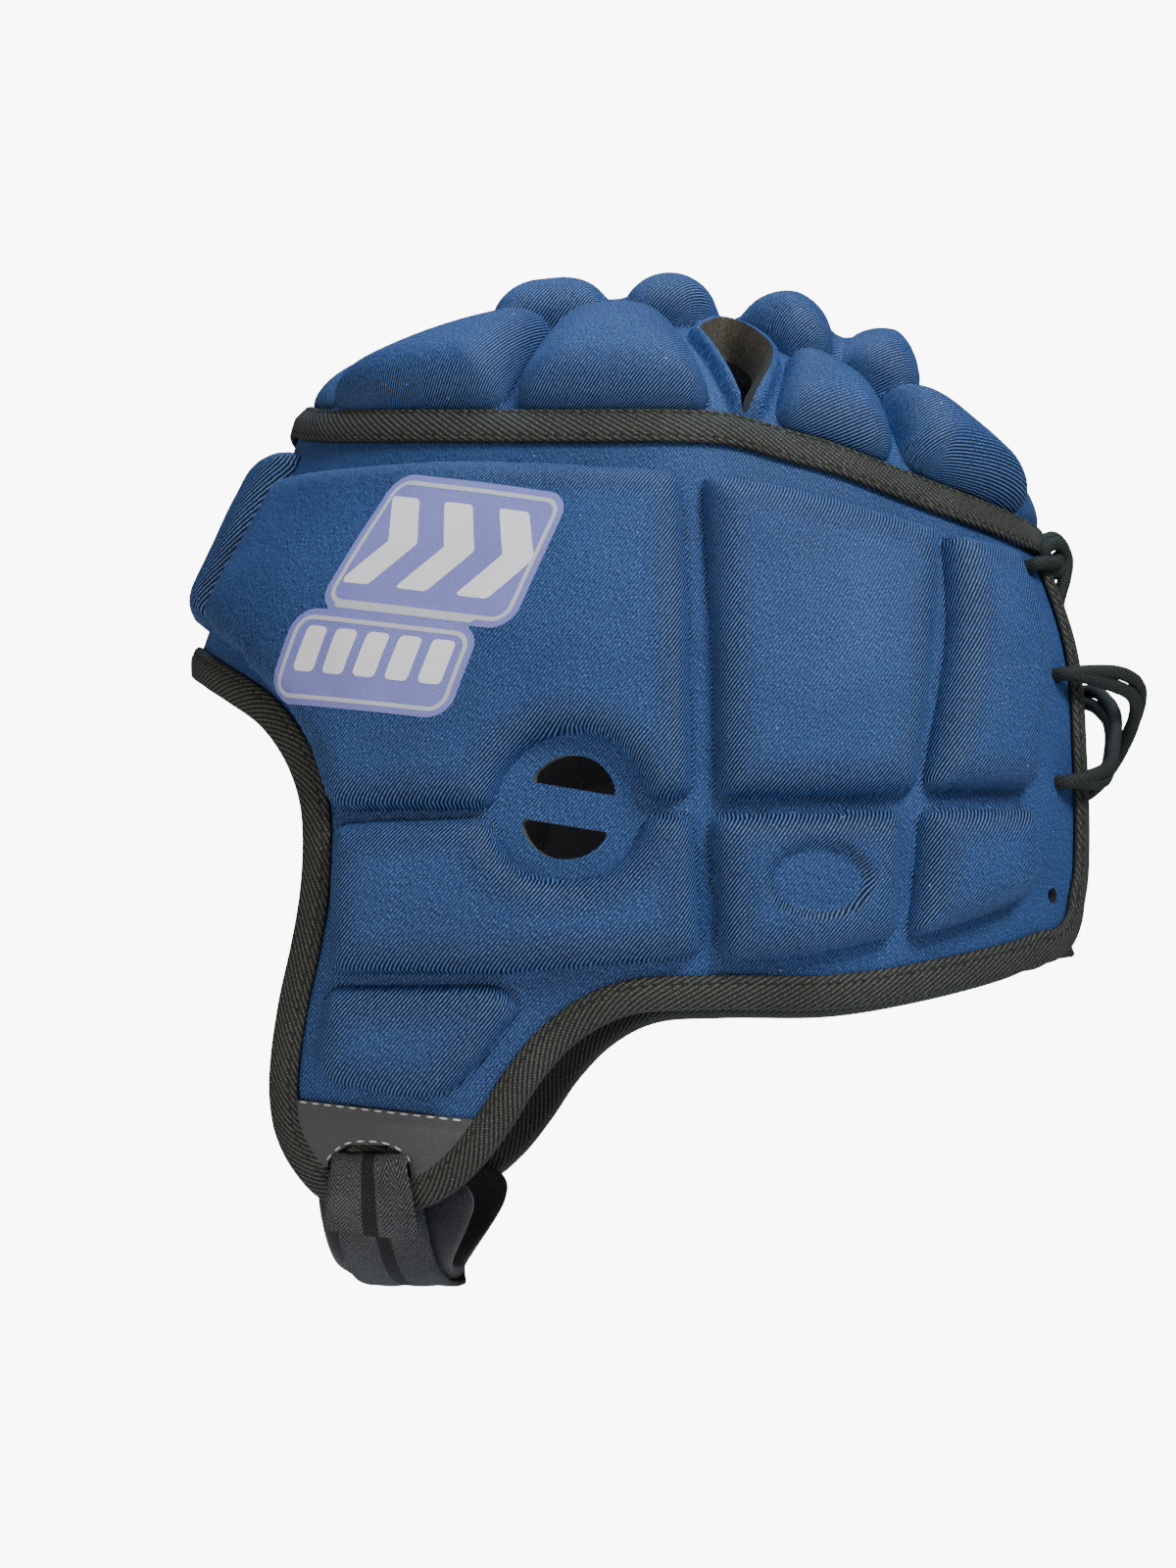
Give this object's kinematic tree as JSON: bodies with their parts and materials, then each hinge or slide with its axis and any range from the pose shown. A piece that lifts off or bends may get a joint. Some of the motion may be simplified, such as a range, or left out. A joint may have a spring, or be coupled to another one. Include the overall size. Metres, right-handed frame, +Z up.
{
  "type": "soft shell football helmet",
  "caption": "Padded soft head guard with ear vents, a bound face opening, a webbing chin strap with a chin pad, and a laced gap at the back.",
  "frame": {"origin": "inner top of the crown, where the wearer's head bears", "axes": "+Z up, -Y towards the wearer's face, +X towards the wearer's left"},
  "size_m": [0.1922, 0.2655, 0.2806],
  "materials": {
    "padded_knit": "navy polyester knit over foam, matt with a slight sheen",
    "binding_tape": "charcoal twill tape, matt",
    "patch_vinyl": "dark grey coated fabric, matt",
    "lining": "black brushed lining, matt",
    "webbing": "charcoal herringbone webbing, matt",
    "lace_cord": "round braided cord, matt"
  },
  "bodies": {
    "root": {"crown_shell": "padded_knit", "band_shell": "padded_knit", "seam_binding": "binding_tape", "edge_binding": "binding_tape", "jaw_patch_left": "patch_vinyl", "jaw_patch_right": "patch_vinyl", "cheek_liner_left": "lining", "cheek_liner_right": "lining", "chin_strap": "webbing", "chin_pad": "lining", "lace_outer": "lace_cord", "lace_inner": "lace_cord", "lace_top": "lace_cord", "back_tab": "lining"}
  },
  "joints": []
}
